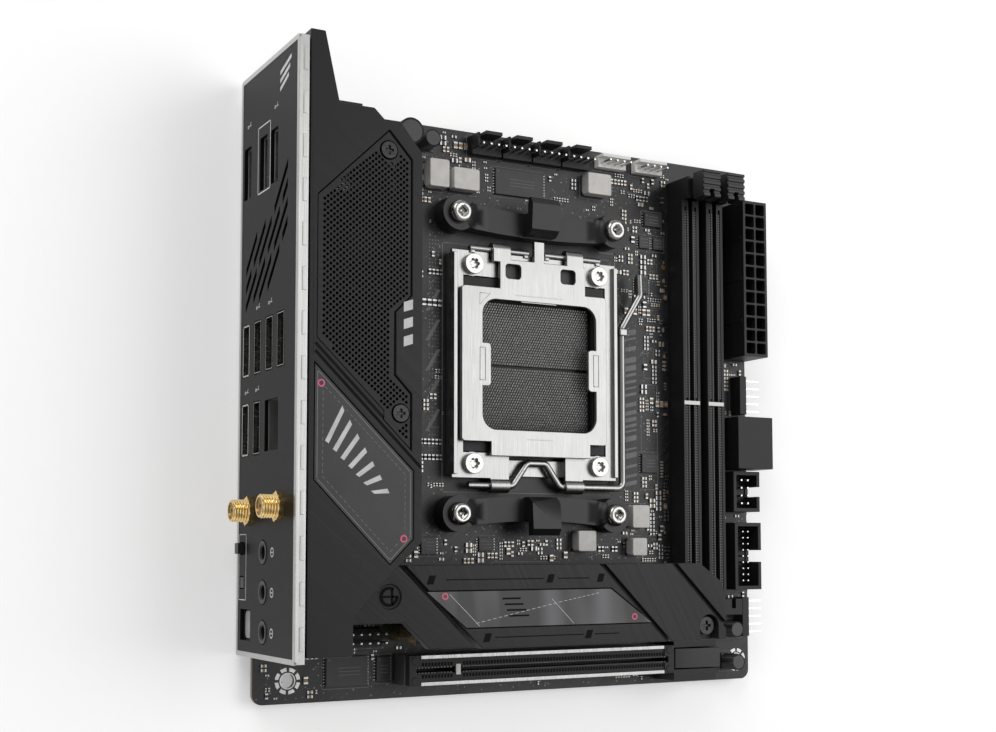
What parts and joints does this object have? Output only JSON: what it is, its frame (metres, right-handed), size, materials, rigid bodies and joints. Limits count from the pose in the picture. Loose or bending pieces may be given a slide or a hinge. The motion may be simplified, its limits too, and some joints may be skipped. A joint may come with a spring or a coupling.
{
  "type": "computer motherboard",
  "caption": "Compact square computer motherboard with rear port shield and cover, hinged processor socket, memory slots, expansion slot and finned drive cover.",
  "frame": {"origin": "centre of the bounding box's base: the height of the socket backplate's face that it rests on", "axes": "+X from the rear port shield to the front edge, +Y from the expansion slot to the fan headers, +Z out of the component side"},
  "size_m": [0.1832, 0.177, 0.0491],
  "materials": {
    "board": "solder-masked glass fibre board, near black",
    "bright_steel": "nickel-plated stamped steel",
    "port_steel": "tinned steel can",
    "black_steel": "black-coated steel",
    "shield_black": "satin black coating",
    "cover_black": "fine brushed charcoal black",
    "black_screw": "black oxide",
    "badge_gloss": "smoked mirror gloss",
    "black_aluminium": "black anodised",
    "thermal_pad": "soft grey silicone",
    "black_plastic": "moulded black",
    "white_plastic": "moulded white",
    "grey_plastic": "moulded grey",
    "gold": "gold plated",
    "chrome_screw": "bright nickel",
    "black_film": "insulating film",
    "brass_post": "turned",
    "choke_grey": "sintered grey alloy block",
    "chip_black": "moulded package"
  },
  "bodies": {
    "board": {"antenna_jacks": "gold", "audio_jacks": "black_plastic", "backplate": "black_steel", "backplate_film": "black_film", "button_housing": "black_plastic", "capacitors": "black_aluminium", "card_latch_base": "black_plastic", "chips": "chip_black", "chipset_heatsink": "black_aluminium", "circuit_board": "board", "clamp_screws": "bright_steel", "clock_battery": "bright_steel", "cooler_bracket_far": "black_plastic", "cooler_bracket_near": "black_plastic", "cooler_screws": "chrome_screw", "cover_badge": "badge_gloss", "cover_screws": "black_screw", "drive_badge": "badge_gloss", "drive_carrier": "board", "drive_cover": "cover_black", "drive_ports": "black_plastic", "drive_socket": "black_plastic", "expansion_slot": "black_plastic", "fan_frame": "black_plastic", "fan_headers": "black_plastic", "header_bases": "black_plastic", "header_pins": "gold", "light_port": "black_plastic", "lighting_headers": "white_plastic", "main_power_socket": "black_plastic", "memory_slot_1": "black_plastic", "memory_slot_2": "black_plastic", "network_usb_shell": "port_steel", "port_cover": "cover_black", "port_tongues": "black_plastic", "power_chokes": "choke_grey", "power_heatsink": "black_aluminium", "processor_power_socket": "black_plastic", "shield_plate": "shield_black", "shield_rim": "bright_steel", "slot_shield": "bright_steel", "socket_base": "black_plastic", "socket_contacts": "gold", "socket_frame": "bright_steel", "stack_posts": "brass_post", "thermal_pads": "thermal_pad", "usb_stack_shell": "port_steel", "vent_grille": "cover_black", "video_usb_shell": "port_steel", "wireless_module": "port_steel"},
    "fan_rotor": {"fan_rotor": "black_plastic"},
    "load_plate": {"load_plate": "bright_steel"},
    "socket_lever": {"socket_lever": "bright_steel"},
    "memory_latch_1": {"memory_latch_1": "black_plastic"},
    "memory_latch_2": {"memory_latch_2": "black_plastic"},
    "card_latch": {"card_latch": "black_plastic"},
    "rear_button_1": {"rear_button_1": "black_plastic"},
    "rear_button_2": {"rear_button_2": "black_plastic"},
    "light_shutter": {"light_shutter": "grey_plastic"}
  },
  "joints": [
    {"name": "load_plate_hinge", "type": "hinge", "parent": "board", "child": "load_plate", "pos_m": [0.005, 0.0449, 0.009], "axis": [-1, 0, 0], "range_deg": [0, 95]},
    {"name": "lever_hinge", "type": "hinge", "parent": "board", "child": "socket_lever", "pos_m": [0.005, -0.0265, 0.0078], "axis": [1, 0, 0], "range_deg": [0, 105]},
    {"name": "memory_latch_1_hinge", "type": "hinge", "parent": "board", "child": "memory_latch_1", "pos_m": [0.0603, 0.0705, 0.009], "axis": [-1, 0, 0], "range_deg": [0, 28]},
    {"name": "memory_latch_2_hinge", "type": "hinge", "parent": "board", "child": "memory_latch_2", "pos_m": [0.0698, 0.0705, 0.009], "axis": [-1, 0, 0], "range_deg": [0, 28]},
    {"name": "card_latch_hinge", "type": "hinge", "parent": "board", "child": "card_latch", "pos_m": [0.0633, -0.0801, 0.0084], "axis": [0, 1, 0], "range_deg": [0, 20]},
    {"name": "fan_spin", "type": "hinge", "parent": "board", "child": "fan_rotor", "pos_m": [-0.0676, 0.034, 0.0394], "axis": [0, 0, 1], "continuous": true},
    {"name": "rear_button_1_press", "type": "slide", "parent": "board", "child": "rear_button_1", "axis": [1, 0, 0], "range_m": [0, 0.0008], "stiffness_N_per_m": 400},
    {"name": "rear_button_2_press", "type": "slide", "parent": "board", "child": "rear_button_2", "axis": [1, 0, 0], "range_m": [0, 0.0008], "stiffness_N_per_m": 400},
    {"name": "shutter_hinge", "type": "hinge", "parent": "board", "child": "light_shutter", "pos_m": [-0.0845, -0.0659, 0.01315], "axis": [0, -1, 0], "range_deg": [0, 80], "stiffness_Nm_per_rad": 0.0005}
  ]
}
